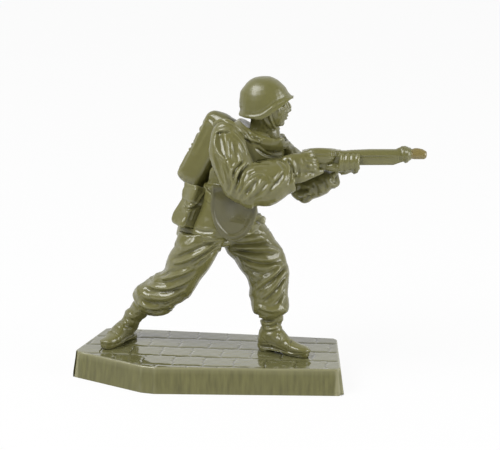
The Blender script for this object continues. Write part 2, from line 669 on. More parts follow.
left_leg.folds([
    (0.16, 0.34, 240, 238.6, 251.7, 238, 260.9, 236.9, 267.6, 239),
    (-0.2, 0.3, 227, 242.8, 238.3, 244.6, 253.3, 243.4, 264, 241.6, 271, 242.6),
    (0.26, 0.36, 232, 246.4, 244, 247.6, 258, 247.8, 269, 247.6, 275.4, 249.6, 278.2, 253.2, 276.8, 257.4),
    (-0.24, 0.3, 230, 249.2, 243.3, 251.2, 257, 252.4, 268, 252.2, 273.2, 254, 273.6, 256),
    (0.16, 0.34, 233, 251.8, 246, 255.8, 260, 258.2, 273, 258.4),
    (-0.24, 0.3, 234.5, 254.4, 246.7, 260.4, 260, 263.6, 272, 263, 281.5, 259.6),
    (0.18, 0.34, 240, 261, 252, 266.2, 264, 268.2, 275, 265.6, 281, 262),
    (-0.2, 0.3, 243.3, 266, 252, 271.2, 261.7, 273.8, 268, 272.6),
    (0.24, 0.36, 286.4, 258.6, 283.6, 263, 279.6, 267.6, 271.7, 275, 261.7, 282.2, 253.6, 289),
    (-0.22, 0.28, 288, 264.6, 284.6, 267.6, 279, 273.9, 269.6, 281.8, 260, 289.6, 254.4, 295),
    (0.2, 0.34, 288.2, 269.4, 285.2, 272.2, 276.7, 282.6, 268, 291.8, 259.4, 299.8),
    (-0.22, 0.28, 288, 274.6, 284.6, 278, 278, 286.8, 270, 295.6, 262, 303),
    (0.2, 0.32, 287.8, 281, 284.8, 284.4, 279.6, 293.4, 273, 301.4, 267.6, 306.6),
    (-0.18, 0.26, 287.4, 288, 284.6, 291.4, 280.6, 298.6, 276, 305.2),
    (0.16, 0.3, 287.6, 293.4, 284.4, 299.6, 281, 305.4),
    (0.18, 0.34, 256, 306, 263.4, 309.2, 272, 310.6, 281, 308.6),
    (-0.14, 0.28, 247.5, 279, 251.6, 283.4, 257.6, 284.2),
    (0.05, 0.09, 231.5, 251, 240, 260, 247, 270, 250.5, 283),
])
left_leg.wraps(left_leg_axis, [
    (-0.13, 0.34, 0.93, 90, 290, 0.02), (0.11, 0.36, 0.86, 100, 270, -0.06),
    (-0.13, 0.34, 0.79, 80, 250, -0.1), (0.1, 0.38, 0.71, 100, 270, -0.1),
    (-0.12, 0.34, 0.62, 90, 250, -0.12), (0.1, 0.4, 0.53, 80, 240, 0.1), (-0.12, 0.36, 0.44, 100, 270, 0.12),
    (0.09, 0.4, 0.34, 90, 250, 0.12), (-0.11, 0.36, 0.24, 100, 260, 0.1),
])


def lace_boot(leg, heel, turn):
    """Presses the welt, counter, toe cap and laces of a boot, from where its heel stands and points."""
    heel = np.array(heel)
    way = heading(math.radians(turn))
    side = np.array((-way[1], way[0], 0))
    welt = [(along, 0.72) for along in (0.6, 2, 3.5, 5, 6.5, 7.6)]
    counter = [(2.6, 0.9), (2.2, 1.6), (1.2, 2.3), (0.3, 2.5)]

    def spot(along, across, high):
        middle = heel + way * along + (0, 0, high * 0.5)
        return leg.outward(middle, side * across + np.array((0, 0, 1 - abs(across))) * high)

    for hand in (-1, 1):
        for path, *stroke in ((welt, 0.13, -0.1, 0.1, 0.2), (counter, 0.12, -0.08, 0.2, 0.3)):
            leg.press([leg.outward(heel + way * along + (0, 0, high), side * hand)
                       for along, high in path], *stroke)
    leg.press([spot(6.1, across, 1.2) for across in (-0.95, -0.6, 0, 0.6, 0.95)], 0.13, -0.13, 0.15, 0.6)
    for k in range(4):
        leg.press([spot(3 + 0.55 * k, across, 1.4) for across in (-0.35, 0, 0.35)], 0.15, 0.06, 0.3, 0.2)
    leg.write()


lace_boot(right_leg, (-12.51, 6.39, 4.3), -122)
lace_boot(left_leg, (8.28, -0.2, 4.3), -31)
right_leg.folds([
    (0.1, 0.26, 127.5, 313, 131, 316.4, 137.5, 318),
    (-0.1, 0.24, 124.5, 316.5, 130, 320, 136.8, 322),
    (0.09, 0.24, 123.5, 320, 128, 323.4, 135, 325.5),
    (-0.09, 0.22, 121, 323.5, 127, 327, 134, 328.5),
])
left_leg.folds([
    (-0.95, 0.5, 273.6, 351, 277.5, 352, 282, 353.2),
    (-0.16, 0.16, 271.8, 344.8, 272.2, 348, 272.4, 352),
    (0.12, 0.14, 259, 343.9, 266, 344.2, 273.4, 345.4, 283.6, 349.8, 291.2, 353.5, 303.3, 353.7, 308, 351.5),
    (-0.16, 0.22, 262.5, 320, 268, 321.5, 275, 320),
    (0.14, 0.24, 261.5, 323, 268, 324.6, 281, 321),
    (-0.18, 0.22, 264, 326, 271, 326, 279, 322),
    (0.12, 0.22, 264, 329.5, 272, 329, 280, 325.5),
    (0.16, 0.26, 277.4, 332.6, 281.6, 336, 282.6, 339.5, 279.5, 342.5),
])
right_leg.outline([101.6, 341, 104.9, 335.9, 111.1, 328.3, 117.6, 322.2, 121.6, 319.2, 123.9, 315.2,
                   125.6, 310.4, 129.8, 307.4, 131.6, 303.8, 133.8, 300, 132.4, 294.8, 135.4, 288,
                   139.5, 284.4, 144, 281.6, 150, 277, 157, 272.8, 162, 271, 164.8, 268, 166, 262.5,
                   168.8, 254.8, 171.5, 250, 174.3, 246, 175, 240])
right_leg.outline([222, 250.5, 219, 252, 214.5, 260, 208.5, 270.2, 200.5, 280.2, 192.5, 293.2, 187.2, 299,
                   176, 305.6, 173.3, 309.2, 168.6, 313.2, 163.2, 315.4, 155, 316.4, 148.6, 315.6,
                   143.3, 319.2, 139.6, 323, 138.4, 327])
left_leg.soften([(8.3, -0.6, 10, 1.5)], 14)
left_leg.outline([257.2, 348.5, 257.4, 343.5, 257.9, 336, 259.3, 330, 261.2, 325.6, 260, 320.2,
                  260.6, 316.4, 254.8, 313.8, 252, 309.5, 250.4, 300, 248.7, 294, 249.4, 288, 246.2, 277.2,
                  241, 271, 234, 260, 227.5, 252.5])
left_leg.outline([261, 216, 265, 223.6, 268.6, 228.8, 272, 233.4, 275.6, 240, 281.2, 246.8, 285, 255,
                  286.8, 262, 288.8, 268.2, 289.4, 276, 288, 291.8, 288.9, 300, 289, 308, 287.2, 312.2,
                  283.6, 315.2, 283.2, 320.2, 281.2, 324.8, 284.4, 331, 290, 337.4, 293.8, 340.2,
                  300.2, 343.4, 306, 345.6, 309.8, 349, 310.8, 351.6, 309, 354])
right_leg.finish("rear_leg", olive_plastic)
left_leg.finish("front_leg", olive_plastic)


# Jacket: a belted field jacket with its skirt, braces and the scarf rolled round the neck, one
# moulding of olive polystyrene that the legs, arms, head and bags are glued to. It blouses out
# over the belt and the skirt swings with the stride.
jacket = Casting("jacket", 0.12, 12, (), [
    ([(1.2, -3.6, 42.4, 0.45), (2.3, -4.4, 43.1, 0.62), (3.5, -5.1, 42.95, 0.7), (4.6, -5.1, 42.2, 0.7),
      (5.5, -4.5, 41.4, 0.65), (6.5, -3.9, 40.4, 0.55), (7.6, -3.8, 39.3, 0.5), (8.7, -3.7, 38.2, 0.4)], 0.6),
    ([(8.6, -2.4, 39.6, 1.3), (10.1, -1.9, 39.1, 1.55), (11.2, -0.4, 38.9, 1.5),
      (11.2, 1.2, 38.9, 1.3)], 0.9),
    ([(7.2, -2.4, 27.9, 0.5), (8.2, -2, 27.3, 0.6), (8.75, -1.6, 26.6, 0.42)], 0.7),
    ([(7.2, -3, 40.8, 0.7), (5.9, -1.9, 41.4, 0.85), (5.3, 0.1, 41.7, 0.9), (5.8, 2.1, 41.3, 0.85),
      (7.2, 3.3, 40.5, 0.7)],),
])
scarf_middle, scarf_radius = np.array((9.3, 0.1, 40.05)), 3.1
x, y, z = jacket.spots.T
neck_share = np.clip((4.3 - np.hypot(x - scarf_middle[0], y - scarf_middle[1])) / 1.5, 0, 1)
drop = 1 + 0.8 * np.clip((x - 9.5) / 2.5, 0, 1)
jacket.spots[:, 2] -= drop * neck_share * np.clip((z - 38.8) / 1.2, 0, 1)
jacket.write()
jacket.folds([
    (0.14, 0.18, 223.3, 121.2, 231, 124.4, 239.3, 129.4, 245, 134),
    (0.2, 0.2, 223.3, 124.6, 231.5, 127.4, 239.5, 131.4, 245, 136.6, 250.5, 141.5, 256.7, 146),
    (-0.16, 0.16, 223.3, 122.9, 231, 126, 239, 130.6, 245, 135.6, 251, 140.4),
    (0.22, 0.2, 246, 135, 249.3, 138.1, 253.3, 140.1, 257.3, 141.4, 261.3, 142),
    (0.16, 0.18, 261.3, 142, 261, 139.5, 259.3, 137),
    (-0.16, 0.18, 246, 139, 250, 142.2, 254.5, 144.2, 259.5, 145.2),
    (-0.24, 0.2, 255.7, 147.2, 259.5, 150.6, 266, 154.6, 275, 157.6, 284, 156),
    (0.22, 0.55, 196, 167, 203.5, 175, 210.5, 181.5, 217.5, 187),
    (-0.22, 0.3, 191.5, 172.5, 198.6, 181, 206.8, 188.2, 214.5, 193),
    (-0.18, 0.3, 205, 152, 208.5, 162.5, 214.5, 172, 221, 180),
    (0.16, 0.3, 208.5, 150, 212, 160, 218, 169),
    (-0.14, 0.3, 198, 158, 204, 167, 212, 175),
    (0.16, 0.2, 191.7, 233.6, 198, 236.8, 209.2, 237.8, 217, 237.5),
    (-0.18, 0.26, 194, 228, 200, 231.2, 209, 232, 216, 231),
    (-0.16, 0.3, 262, 196, 261.5, 205, 263.5, 214),
    (0.16, 0.26, 255, 200, 257.5, 208.5, 265, 217, 265.2, 221.5),
    (-0.22, 0.26, 251, 214, 256.5, 220, 262, 226),
])


def around_body(piece, middle, strokes):
    """Presses folds on the sides that the picture hides: height, width, then for each point its
    height above the table and its angle from the barrel's direction."""
    for height, width, *points in strokes:
        piece.press([piece.outward((*middle(high), high), heading(math.radians(angle)))
                     for high, angle in pairs(points)], width, height)
    piece.write()


def body_middle(high):
    """Where the middle of the body stands at a height above the table."""
    return 2.9 + (high - 24) * 0.24, 0.2


around_body(jacket, body_middle, [
    (-0.24, 0.34, 30, 20, 29, 40, 28.4, 62, 28.8, 84, 29.6, 104),
    (0.2, 0.4, 31.4, 15, 30.6, 38, 30, 60, 30.4, 84),
    (-0.22, 0.34, 36, 62, 33.6, 52, 31.6, 44, 30.4, 36),
    (0.18, 0.34, 37, 50, 34.8, 42, 33, 34, 31.6, 28),
    (-0.22, 0.34, 36.4, 34, 34.6, 24, 32.8, 14, 31.8, 4),
    (-0.22, 0.32, 38.6, 96, 35.8, 92, 33, 88, 30.8, 86),
    (-0.18, 0.3, 33.2, 112, 31.4, 104, 30, 98),
    (0.16, 0.36, 35, 78, 32.6, 72, 30.6, 68),
    (-0.16, 0.4, 27.2, 58, 25.4, 62, 23.4, 66, 21.6, 68),
    (-0.16, 0.4, 27.2, 90, 25, 91, 23, 95, 21.6, 97),
    (0.12, 0.5, 26.6, 75, 24.6, 77, 22.8, 80, 21.6, 81),
    (-0.16, 0.4, 27.2, 30, 25, 27, 23.2, 24, 21.8, 22),
    (0.12, 0.5, 26.6, 44, 24.8, 44, 23, 46, 21.6, 46),
    (-0.14, 0.4, 27, 118, 25, 120, 23, 123, 21.6, 124),
    (-0.16, 0.36, 27, -14, 24.8, -12, 23.4, -10, 22, -8),
    (0.12, 0.4, 26.6, 6, 24.8, 8, 23.4, 9, 22, 9),
])


def scarf_spot(angle, rise):
    """A point on the scarf's roll, at an angle round the neck."""
    out = heading(math.radians(angle))
    return jacket.outward(scarf_middle + out * scarf_radius, out + (0, 0, rise))


for start_angle, height in ((44, -0.14), (78, 0.12), (110, -0.14), (142, 0.12), (172, -0.14)):
    jacket.press([scarf_spot(start_angle - 14 + 14 * k, 0.9 - 0.8 * k) for k in range(4)], 0.26, height)
jacket.write()
jacket.soften([(12.6, -1.6, 40.2, 2), (12.9, 0, 40.1, 2), (12.5, 1.6, 40.1, 1.8)], 70)
jacket.soften([(8.6, -2.4, 28.2, 1.8), (9.4, -0.6, 27.8, 1.8), (9, 1.2, 27.8, 1.8)], 40)
jacket.outline([281.5, 133, 285.4, 136.8, 288.4, 140.2, 291.6, 143.6, 296, 147.4, 300.5, 151, 305, 155])
jacket.outline([253.5, 180, 254.6, 190, 255.4, 199, 256.2, 206, 258, 212, 260, 218, 262, 224], 24, 2.5)
jacket.outline([255.8, 206, 257.2, 210, 260.6, 213.4, 265, 216.8, 266.2, 220.6, 264, 224.5, 258, 229], 8)
jacket.finish("field_jacket", olive_plastic)


# Head: a calm, plain face of general proportions, with ears, a hairline under the helmet and
# the chin strap along the jaw. It is moulded in olive polystyrene with its neck, which is glued
# by a key into the jacket's collar.
head = Casting("head", 0.08, 10, (), [([(9.6, 0.2, 38.6, 1.7), (9.8, 0.2, 40, 1.75),
                                        (9.9, 0.2, 41.2, 1.5)],)])
head_turn = math.radians(-8)


def mark_face(strokes, hand=1):
    """Presses features: height, width, then each point's height above the table and its angle
    from straight ahead, to the left or right by the hand."""
    for height, width, *points in strokes:
        head.press([head.outward((9.2, 0.1, high), heading(head_turn + math.radians(angle * hand)))
                    for high, angle in pairs(points)], width, height, 0.3)


for hand in (-1, 1):
    mark_face([
        (-0.2, 0.34, 45.2, 16, 45.2, 26, 45.2, 36),
        (0.11, 0.16, 45.25, 17, 45.45, 25, 45.2, 33),
        (0.07, 0.13, 44.95, 18, 44.85, 25, 44.98, 32),
        (0.09, 0.26, 45.9, 10, 46.1, 24, 45.9, 38),
        (0.1, 0.42, 44.3, 36, 44.1, 46),
        (-0.07, 0.16, 43.95, 10, 43.5, 19, 42.9, 23),
        (0.08, 0.16, 43.95, 7.5, 43.85, 12),
        (0.12, 0.28, 41.7, 50, 42.3, 76, 43.3, 92),
        (-0.12, 0.22, 41.1, 30, 41.2, 60, 41.9, 88),
        (0.24, 0.15, 45.2, 86, 45.6, 92, 45.4, 100, 44.6, 101, 43.9, 96, 43.6, 91),
        (-0.14, 0.16, 44.9, 92, 44.4, 93),
        (0.16, 0.18, 46.2, 72, 44.4, 72, 42.8, 62, 41.5, 34, 41, 8),
    ], hand)
mark_face([
    (0.16, 0.22, 45.4, 0, 44.7, 0, 44.25, 0),
    (0.14, 0.2, 44.1, -5, 44.1, 5),
    (0.09, 0.13, 43.12, -15, 43.2, -5, 43.14, 0, 43.2, 5, 43.12, 15),
    (-0.1, 0.09, 42.93, -18, 42.95, 0, 42.93, 18),
    (0.1, 0.14, 42.72, -12, 42.68, 0, 42.72, 12),
    (-0.09, 0.2, 42.35, -10, 42.3, 0, 42.35, 10),
    (0.12, 0.34, 41.75, -8, 41.7, 0, 41.75, 8),
    (0.12, 0.18, 40.95, -16, 40.95, 0, 40.95, 16),
])
head.write()
head.finish("soldier_head", olive_plastic, 3, 12)


# Helmet: the shape of a deep steel shell, lower at the sides and back, with a short brim and a
# rolled edge. It is a moulding of olive polystyrene with a duller gloss, glued on the flat crown
# of the head.
helmet = Casting("helmet", 0.1, 16)
helmet.folds([
    (0.07, 0.16, 240.6, 113.6, 246, 116.3, 254, 117, 261.5, 115.4, 269, 110.6, 277, 104.2, 285.5, 100,
     293.6, 97.2),
    (-0.05, 0.2, 242, 110.2, 247.5, 112.7, 254.6, 113.4, 261, 111.6, 268.5, 106.8, 276.5, 100.6, 285, 96.4,
     291.6, 94),
])
steel_olive = plastic("helmet plastic", (0.122, 0.117, 0.036), (0.16, 0.153, 0.052),
                      (0.05, 0.046, 0.012), (0.25, 0.24, 0.12), gloss=0.25, haze=0.12)
helmet.outline([240.8, 115.4, 240, 108.5, 239.2, 98, 240.2, 92, 243.2, 86.3, 249, 81, 255.5, 77.4,
                262.8, 76, 269.8, 76.8, 276.8, 79.8, 283.5, 85.6, 288, 91.6, 291, 95.3, 294.4, 96.8,
                294, 98.6, 290.5, 100], 6, 1.2)
helmet.finish("helmet_shell", steel_olive, 3, 12)


# Right arm: the near sleeve, drawn up at the elbow, with its cuff and the hand on the rifle's
# grip. It is one moulding of olive polystyrene, glued to the jacket's shoulder by a square key.
right_upper_axis = [(3.2, -4.1, 42.2), (3.15, -4.7, 40.6), (3.5, -5.3, 38.7), (4.2, -6.2, 36.5),
                    (5, -7, 34.3), (5.4, -7.4, 32.1)]
right_fore_axis = [(5.6, -7.5, 33), (7.8, -7.6, 33.5), (10, -7.4, 34.1), (11.9, -7, 34.7),
                   (13, -6.7, 35.1)]
right_arm = Casting("right_arm", 0.12, 12, [((13.45, -6.6, 35), (0.97, 0.05, 0.2))], [
    ([(12.4, -6, 36.4, 1.75), (13.8, -5.9, 36.5, 1.95), (15.1, -5.6, 36.7, 1.75),
      (16.3, -5.1, 36.9, 1.3)], 0.56),
    ([(13.2, -6.2, 34.9, 1.2), (14.7, -6, 34.85, 1.1), (16.2, -5.5, 35, 0.75), (18, -4.8, 35.3, 0.45)], 0.8),
    ([(14.7, -5.6, 38.1, 0.42), (15.5, -5.7, 38.15, 0.46), (16.3, -5.4, 38.1, 0.42),
      (17, -4.8, 37.9, 0.34)],),
    ([(14.9, -6, 37.5, 0.42), (15.8, -6, 37.5, 0.46), (16.7, -5.7, 37.3, 0.42), (17.3, -5, 37, 0.34)],),
    ([(15.2, -6.2, 36.8, 0.42), (16.1, -6.15, 36.7, 0.46), (16.9, -5.8, 36.5, 0.42),
      (17.4, -5.1, 36.3, 0.34)],),
    ([(15.3, -6.2, 36, 0.4), (16.2, -6.1, 35.95, 0.42), (16.9, -5.8, 35.8, 0.4), (17.3, -5.2, 35.6, 0.34)],),
])
right_arm.drape(right_upper_axis, 1.6, 0.1, ((0.7, 1, 1), (0.3, 2, 0.4)))
right_arm.drape(right_fore_axis, 1.6, 0.1, ((1.2, 1, 2), (0.3, 2, 1.4)))
dent_wide, dent_deep = 0.75, 0.85
for row, left, right, depth in (
        (135, 215.5, 223.5, 0.46), (139.5, 215.5, 224.5, 0.46), (144, 217, 225.5, 0.38),
        (148.5, 218.5, 226, 0.25), (152.5, 221, 226.3, 0.12), (146, 231, 236, 0.24), (150.5, 232, 238, 0.22),
        (155, 233, 239, 0.16), (159.5, 235, 239.5, 0.08), (160, 214.5, 219, 0.26), (165, 216, 221.5, 0.26),
        (170, 217.5, 223, 0.2), (175, 219, 224.5, 0.14), (180, 221.5, 225, 0.07), (172, 238, 243, 0.16),
        (177, 237.5, 243, 0.14)):
    path = [right_arm.seen(x, row) for x in (left, (left + right) / 2, right)]
    right_arm.press(path, dent_wide, -dent_deep * depth, 0.3, 0)
right_arm.write()
right_arm.folds([
    (0.2, 0.2, 213.6, 138, 215.3, 146, 218.3, 152.5, 222.8, 157.4, 227.3, 160.6),
    (0.2, 0.2, 224.6, 135, 227, 145, 227.9, 154, 227.3, 160.6),
    (0.2, 0.2, 227.3, 160.6, 230, 167, 231.6, 174.5, 231.2, 182),
    (0.14, 0.18, 231, 146, 231.8, 151.5, 233.4, 158, 236.6, 164),
    (0.14, 0.18, 236.2, 146, 239.7, 153.5, 240.6, 160, 237, 164.8),
    (0.16, 0.2, 213.4, 158.5, 215.8, 167, 219.3, 177, 224.2, 186),
    (0.14, 0.2, 219.2, 159, 222.8, 169, 225.3, 179, 224.6, 186),
    (0.2, 0.22, 230.7, 131.2, 235.5, 135, 239.8, 140, 244.3, 147.7, 248, 156.5),
    (-0.2, 0.16, 214.6, 136, 218.5, 133.4, 224, 132.4, 230.5, 132.6),
    (0.2, 0.26, 216.5, 130.6, 222.7, 129.4, 229.7, 130),
    (0.18, 0.3, 207.9, 162.5, 212.3, 174.1, 218.6, 186.6, 222.1, 193.75),
    (-0.18, 0.3, 207.5, 171, 211.5, 181, 217.5, 191, 222.5, 199),
    (-0.26, 0.28, 243.6, 160.6, 238.4, 166, 234.2, 171.4, 232, 178),
    (0.18, 0.22, 246.6, 161, 241.4, 167.3, 237.2, 173.5, 234.6, 180),
    (-0.24, 0.26, 249, 163.8, 243.8, 168.8, 240.1, 174.1, 237, 185.7),
    (0.2, 0.26, 244.2, 172, 242.2, 178, 240.2, 186, 236.4, 193),
    (-0.16, 0.26, 228.5, 178, 229.5, 185, 228.4, 192),
    (0.14, 0.3, 234, 181, 233, 188, 230.5, 196),
    (-0.28, 0.45, 258.5, 178.6, 252.5, 186.3, 245, 194.5),
    (0.2, 0.22, 264.2, 176.8, 258.8, 184, 252.4, 191, 243.6, 201.8),
    (0.18, 0.22, 261.4, 174.3, 251, 182, 242.8, 191, 238.4, 201.5),
    (-0.16, 0.3, 267.5, 180.5, 261.8, 188, 255, 195.2, 247.5, 202.4),
    (0.14, 0.3, 271, 184, 264.6, 192, 256.8, 199.4),
    (0.18, 0.2, 247.4, 181.2, 252.2, 176.6, 257.9, 173.8, 262.5, 174.6, 264.3, 177.4),
    (-0.16, 0.3, 246.8, 176.4, 252.9, 171.8, 259.5, 169.6, 267, 171),
    (0.16, 0.18, 268.8, 174.6, 270.4, 178.2, 273.2, 180.8, 276.6, 178.4, 282, 170.5),
    (-0.16, 0.3, 284, 171.5, 280.3, 177.6, 274.5, 184.5, 268, 190),
    (0.12, 0.34, 287, 175.5, 282.8, 182, 276.5, 188, 268, 194.5),
    (-0.14, 0.3, 252, 165.4, 262, 163.4, 272, 163.6),
    (0.14, 0.4, 255, 160.5, 266, 157.8, 279, 157.6),
    (-0.14, 0.26, 277, 161.2, 281.5, 165, 284.8, 170.8),
    (0.18, 0.2, 285.5, 160.5, 288.6, 166, 289.6, 172.5),
    (0.24, 0.22, 290.6, 157.6, 293.2, 164, 294.5, 172, 294, 180, 291.6, 186),
    (-0.2, 0.2, 287.4, 158.6, 289.6, 165, 290.8, 172, 290.2, 179.6, 287.8, 185),
    (-0.1, 0.18, 296, 159, 298, 165, 298.8, 172.5, 297.6, 180, 295.6, 185),
])
right_arm.wraps(right_upper_axis, [
    (-0.13, 0.36, 0.3, 80, 250, -0.2), (0.1, 0.38, 0.42, 90, 270, -0.2), (-0.13, 0.34, 0.56, 70, 230, 0.2),
    (0.1, 0.36, 0.7, 90, 260, 0.1), (-0.13, 0.34, 0.84, 60, 240, 0),
])
right_arm.wraps(right_fore_axis, [
    (-0.12, 0.34, 0.25, 90, 260, 0.3), (0.1, 0.36, 0.4, 110, 290, -0.2), (-0.12, 0.34, 0.55, 90, 270, -0.3),
    (0.1, 0.32, 0.7, 110, 290, 0.1), (-0.12, 0.3, 0.82, 80, 280, 0),
])
right_arm.folds([
    (-0.1, 0.4, 297, 172.6, 302, 173.2, 307, 172.4),
    (0.12, 0.2, 303, 155.6, 305.6, 161.3, 309, 164.2, 312, 169),
    (0.12, 0.16, 309.6, 174.9, 314.5, 175.6, 319.6, 175.3),
])
right_arm.soften([(*right_arm.seen(x, row), size) for x, row, size in (
    (219.6, 140.5, 1.2), (221.4, 147.5, 1.2), (235, 151.5, 1.05), (237, 157.5, 0.8), (217.6, 165, 1),
    (220.2, 172, 1), (222.4, 178.5, 0.8), (259, 180.5, 0.8), (254.6, 187.4, 0.8))], 16)
right_arm.outline([298, 188, 287.5, 195.6, 280.5, 200.8, 273.5, 204.8, 267, 206.4, 259.8, 206.2, 252, 206])
right_arm.finish("firing_arm", olive_plastic)


# Left arm: the far sleeve folded back under the rifle, and the hand that carries the forend.
# It is one moulding of olive polystyrene, glued to the jacket's far shoulder by a square key.
left_upper_axis = [(10.4, 3.2, 38.8), (11.8, 3.2, 36.6), (13.2, 2.5, 35.3), (14.4, 1.5, 33),
                   (14.9, 0.8, 31.1)]
left_fore_axis = [(14.5, 0.6, 30.1), (15.6, 0.2, 30.8), (17.4, -0.8, 32), (18.8, -1.8, 33),
                  (19.8, -2.3, 33.8)]
finger_shapes = [([(x - 0.15, -3.6, 35.25, 0.46), (x - 0.1, -4.75, 35.4, 0.46), (x, -5.3, 36.3, 0.45),
                   (x + 0.1, -5.3, 37.2, 0.42), (x + 0.2, -4.9, 37.85, 0.36)],)
                 for x in (20.95, 21.78, 22.6, 23.38)]
left_arm = Casting("left_arm", 0.12, 12, [((19.9, -2.4, 33.9), (0.707, -0.424, 0.566))], [
    ([(19.3, -2.3, 33.6, 1.15), (20.5, -3.1, 34.6, 1.1), (21.6, -3.6, 35.2, 1.25),
      (23, -3.8, 35.4, 1.1)], 0.7, (0, 0.2, -1)),
    ([(18.9, -4.3, 35.9, 0.62), (19.8, -4.5, 35.9, 0.8), (20.7, -4.4, 35.6, 0.8)],),
    ([(20.4, -2.7, 35.4, 0.6), (21.2, -2.2, 36.6, 0.5), (22.2, -2.1, 37.4, 0.44)],),
    *finger_shapes,
])
left_arm.folds([
    (-0.17, 0.3, 297, 190, 303, 188.8, 309.6, 190),
    (0.15, 0.32, 296.5, 194, 303.5, 193.6, 311, 193.8),
    (-0.17, 0.3, 298.5, 198.8, 305, 197.5, 312.8, 196.6),
    (-0.15, 0.28, 312.5, 182.5, 316, 189, 318.6, 196),
    (0.15, 0.3, 316.5, 179.5, 320, 186.5, 322.8, 193.5),
    (-0.15, 0.28, 320.5, 177, 324, 183.6, 327, 190),
    (0.15, 0.3, 325, 176, 328.4, 181.6, 330.8, 187),
    (-0.14, 0.26, 330, 174.8, 333.2, 179.2, 335.6, 184),
    (0.17, 0.2, 334.5, 172.6, 337.4, 176.8, 338.6, 181),
])
left_arm.wraps(left_upper_axis, [
    (-0.13, 0.36, 0.3, 90, 270, 0.2), (0.1, 0.38, 0.45, 80, 260, 0.2), (-0.13, 0.34, 0.6, 90, 280, -0.2),
    (0.1, 0.36, 0.74, 70, 270, 0), (-0.13, 0.34, 0.88, 90, 270, 0.1),
])
left_arm.wraps(left_fore_axis, [
    (-0.12, 0.34, 0.3, 90, 270, 0.2), (0.09, 0.34, 0.46, 100, 280, -0.2), (-0.12, 0.32, 0.62, 80, 270, 0.2),
    (0.09, 0.3, 0.76, 90, 270, 0), (-0.11, 0.24, 0.9, 60, 300, 0),
])
left_arm.outline([281, 131, 284.4, 134.8, 288, 139.6, 291.6, 143.6, 296, 147.4, 300.5, 151, 306, 156])
left_arm.outline([333, 187, 329.5, 191.3, 326.5, 193.8, 319, 197.3, 312.8, 199.4, 309.6, 201.8, 306, 203.2,
                  302.4, 203, 297.5, 200.2, 290, 196])
left_arm.outline([360.4, 162, 360.4, 168.8, 358.4, 171.4, 358, 174.6, 356, 175.4, 353, 172.6, 349.8, 172.4,
                  346.2, 173.8, 340, 174.6, 334, 176], 6, 1)
left_arm.finish("carrying_arm", olive_plastic)


# Rifle: the shape of a self-loading rifle with stock, receiver, forend, front band and muzzle,
# one moulding of olive polystyrene that lies glued in both fists. The thin muzzle lets the light
# through and looks yellower than the rest.
rifle = Casting("rifle", 0.085, 6, (), [
    ([(15.5, -4.3, 37.5, 1.1), (16.8, -4.5, 37.65, 1.3), (18.4, -4.5, 37.65, 1.3),
      (19.3, -4.3, 37.6, 1.15)], 0.75),
    ([(16.4, -4.1, 36.2, 0.75), (18.4, -4.1, 36.1, 0.8), (20.2, -4, 36.3, 0.6)], 0.9),
])
rifle.folds([
    (-0.11, 0.14, 325, 157.3, 345, 157.1, 365, 156.9, 385, 156.7, 398, 156.6),
    (-0.12, 0.14, 306, 155.4, 318, 155.2, 331, 155),
    (-0.12, 0.12, 331.8, 150.5, 332, 156.5),
    (0.08, 0.12, 398.6, 147.5, 398.8, 154, 399, 161),
    (0.08, 0.12, 407.6, 148.5, 407.8, 154, 408, 160),
    (-0.1, 0.1, 416.5, 151, 416.6, 158),
])
rifle.outline([298.5, 154, 300.8, 151.4, 304.5, 149.8, 309, 149, 316, 148.5, 331.5, 148.6, 340.5, 150.2,
               366, 149.8, 391.5, 149.2, 397, 148, 401.2, 145.6, 405.2, 145.4, 408.4, 147.8, 415, 148,
               421.5, 148.2, 424.5, 149.8, 426.1, 153, 425.9, 156.5, 423.6, 159, 416, 159, 410, 159.2,
               407.8, 161.8, 404.8, 163, 401.2, 162.6, 396, 164, 391.2, 165, 375, 165.1, 360, 165.2], 6, 0.8)
amber_plastic = plastic("muzzle plastic", (0.17, 0.135, 0.042), (0.235, 0.185, 0.066),
                        (0.08, 0.06, 0.015), (0.33, 0.27, 0.13), gloss=0.2, haze=0.12)
muzzle_start = 32 * MM
rifle.mesh.materials.append(olive_plastic)
rifle.mesh.materials.append(amber_plastic)
faces = rifle.mesh.polygons
faces.foreach_set("material_index", [int(face.center.x > muzzle_start) for face in faces])
rifle.finish("toy_rifle", olive_plastic, 2, 14)


# Backpack: the shape of a stuffed canvas pack, its lid pulled down by two buckled straps and
# its sides slack. It is a moulding of olive polystyrene, glued to the jacket's back by a key.
backpack = Casting("backpack", 0.14, 260)
lid_share = np.clip((backpack.spots[:, 2] - 38.5) / 3.5, 0, 1)
backpack.spots[:, 2] += lid_share * (0.55 - 0.06 * backpack.spots[:, 1] ** 2)
backpack.write()
backpack.folds([
    (-0.1, 0.4, 210, 122, 206, 131, 200, 143, 193.5, 156),
    (-0.12, 0.26, 209.5, 118.5, 213, 121.4, 216, 127, 217, 132),
])


def pack_middle(high):
    """Where the middle of the pack stands at a height above the table."""
    return -0.2 + (high - 32.9) * 0.468, 4.1


def on_back(across, high):
    """A point on the pack's outer face, at a place across it and a height above the table."""
    return backpack.outward((pack_middle(high)[0], across, high), (-0.9, 0, 0.42))


